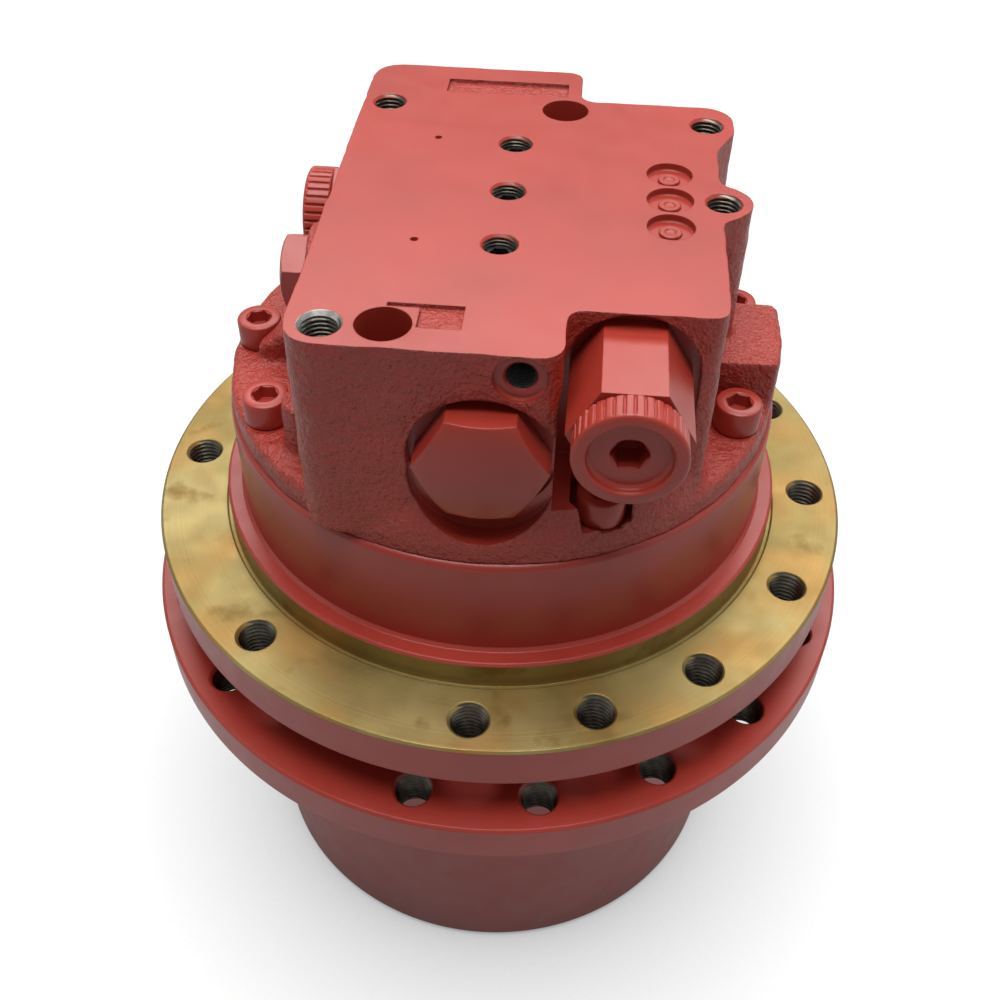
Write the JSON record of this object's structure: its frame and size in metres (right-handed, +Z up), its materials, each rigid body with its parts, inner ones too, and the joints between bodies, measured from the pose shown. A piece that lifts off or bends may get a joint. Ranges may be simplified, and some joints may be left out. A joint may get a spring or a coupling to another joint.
{
  "type": "excavator final drive",
  "caption": "Hydraulic track motor with a valve block on top, a frame flange, and a two-stage planetary gearbox that turns the sprocket flange.",
  "frame": {"origin": "on the drive's axis at the gearbox cover's outer face, the lowest point", "axes": "+Z up the drive's axis from the gearbox cover to the valve block's top; -Y towards the valve block's front, where the large hexagon cap is"},
  "size_m": [0.283, 0.283, 0.32],
  "materials": {
    "red_paint": "smooth satin oxide-red paint on machined steel, with the flange face zinc plated gold",
    "red_casting": "satin oxide-red paint over a sand casting and its fittings",
    "dark_steel": "oiled dark steel",
    "bearing_steel": "ground and polished",
    "gear_steel": "case-hardened and ground",
    "bronze": "machined bronze",
    "brake_lining": "sintered friction lining"
  },
  "bodies": {
    "frame_side": {"bearing_lock_nut": "dark_steel", "block_screw_1": "red_casting", "block_screw_2": "red_casting", "block_screw_3": "red_casting", "block_screw_4": "red_casting", "block_screw_5": "red_casting", "block_screw_6": "red_casting", "block_screw_7": "red_casting", "block_screw_8": "red_casting", "front_port_adapter": "red_casting", "front_port_cap": "red_casting", "front_spool_cap": "red_casting", "front_spool_spring": "gear_steel", "gallery_plug_1": "dark_steel", "gallery_plug_2": "dark_steel", "gallery_plug_3": "dark_steel", "left_port_adapter": "red_casting", "left_port_cap": "red_casting", "lower_bearing_inner_ring": "bearing_steel", "lower_shaft_bearing": "bearing_steel", "rear_spool_cap": "red_casting", "rear_spool_spring": "gear_steel", "side_plug": "red_casting", "spindle": "red_paint", "spindle_seal_ring": "dark_steel", "upper_bearing_inner_ring": "bearing_steel", "upper_shaft_bearing": "bearing_steel", "valve_block": "red_casting", "valve_plate": "bronze"},
    "hub_side": {"hub": "red_paint", "gearbox_cover": "red_paint", "oil_plug_1": "dark_steel", "oil_plug_2": "dark_steel", "cover_retaining_ring": "dark_steel", "lower_bearing_outer_ring": "bearing_steel", "upper_bearing_outer_ring": "bearing_steel", "hub_seal_ring": "dark_steel"},
    "shaft": {"motor_shaft_with_sun": "gear_steel", "cylinder_block": "bronze", "brake_disc": "brake_lining", "piston_1": "gear_steel", "piston_2": "gear_steel", "piston_3": "gear_steel", "piston_4": "gear_steel", "piston_5": "gear_steel", "piston_6": "gear_steel", "piston_7": "gear_steel"},
    "carrier": {"first_stage_carrier": "gear_steel", "second_stage_sun": "gear_steel"},
    "first_planet_1": {"first_stage_planet_1": "gear_steel"},
    "first_planet_2": {"first_stage_planet_2": "gear_steel"},
    "first_planet_3": {"first_stage_planet_3": "gear_steel"},
    "second_planet_1": {"second_stage_planet_1": "gear_steel"},
    "second_planet_2": {"second_stage_planet_2": "gear_steel"},
    "second_planet_3": {"second_stage_planet_3": "gear_steel"},
    "lower_cage": {"lower_bearing_balls": "bearing_steel"},
    "upper_cage": {"upper_bearing_balls": "bearing_steel"},
    "swash": {"swash_plate": "gear_steel"},
    "spool": {"counterbalance_spool": "gear_steel"},
    "brake": {"brake_piston": "gear_steel"}
  },
  "joints": [
    {"name": "hub_spin", "type": "hinge", "parent": "frame_side", "child": "hub_side", "pos_m": [0, 0, 0.1358], "axis": [0, 0, 1], "continuous": true},
    {"name": "shaft_spin", "type": "hinge", "parent": "frame_side", "child": "shaft", "pos_m": [0, 0, 0.0925], "axis": [0, 0, 1], "continuous": true},
    {"name": "carrier_spin", "type": "hinge", "parent": "frame_side", "child": "carrier", "pos_m": [0, 0, 0.0405], "axis": [0, 0, 1], "continuous": true},
    {"name": "first_planet_1_spin", "type": "hinge", "parent": "carrier", "child": "first_planet_1", "pos_m": [0.054, 0, 0.018], "axis": [0, 0, 1], "continuous": true},
    {"name": "first_planet_2_spin", "type": "hinge", "parent": "carrier", "child": "first_planet_2", "pos_m": [-0.027, 0.04677, 0.018], "axis": [0, 0, 1], "continuous": true},
    {"name": "first_planet_3_spin", "type": "hinge", "parent": "carrier", "child": "first_planet_3", "pos_m": [-0.027, -0.04677, 0.018], "axis": [0, 0, 1], "continuous": true},
    {"name": "second_planet_1_spin", "type": "hinge", "parent": "frame_side", "child": "second_planet_1", "pos_m": [0.054, 0, 0.056], "axis": [0, 0, 1], "continuous": true},
    {"name": "second_planet_2_spin", "type": "hinge", "parent": "frame_side", "child": "second_planet_2", "pos_m": [-0.027, 0.04677, 0.056], "axis": [0, 0, 1], "continuous": true},
    {"name": "second_planet_3_spin", "type": "hinge", "parent": "frame_side", "child": "second_planet_3", "pos_m": [-0.027, -0.04677, 0.056], "axis": [0, 0, 1], "continuous": true},
    {"name": "lower_cage_spin", "type": "hinge", "parent": "frame_side", "child": "lower_cage", "pos_m": [0, 0, 0.1003], "axis": [0, 0, 1], "continuous": true},
    {"name": "upper_cage_spin", "type": "hinge", "parent": "frame_side", "child": "upper_cage", "pos_m": [0, 0, 0.1243], "axis": [0, 0, 1], "continuous": true},
    {"name": "swash_tilt", "type": "hinge", "parent": "frame_side", "child": "swash", "pos_m": [0, 0, 0.14], "axis": [-1, 0, 0], "range_deg": [0, 7], "stiffness_Nm_per_rad": 30, "springref_deg": -5.73},
    {"name": "spool_shift", "type": "slide", "parent": "frame_side", "child": "spool", "axis": [0, 1, 0], "range_m": [-0.005, 0.005], "stiffness_N_per_m": 4000, "deforming": ["front_spool_spring", "rear_spool_spring"]},
    {"name": "brake_release", "type": "slide", "parent": "frame_side", "child": "brake", "axis": [0, 0, 1], "range_m": [0, 0.002], "stiffness_N_per_m": 20000, "springref_m": -0.004}
  ],
  "couplings": [
    {"joint": "shaft_spin", "follows": "hub_spin", "ratio": -35},
    {"joint": "carrier_spin", "follows": "hub_spin", "ratio": -5},
    {"joint": "first_planet_1_spin", "follows": "hub_spin", "ratio": 15},
    {"joint": "first_planet_2_spin", "follows": "hub_spin", "ratio": 15},
    {"joint": "first_planet_3_spin", "follows": "hub_spin", "ratio": 15},
    {"joint": "second_planet_1_spin", "follows": "hub_spin", "ratio": 2.5},
    {"joint": "second_planet_2_spin", "follows": "hub_spin", "ratio": 2.5},
    {"joint": "second_planet_3_spin", "follows": "hub_spin", "ratio": 2.5},
    {"joint": "lower_cage_spin", "follows": "hub_spin", "ratio": 0.5334},
    {"joint": "upper_cage_spin", "follows": "hub_spin", "ratio": 0.5334}
  ]
}
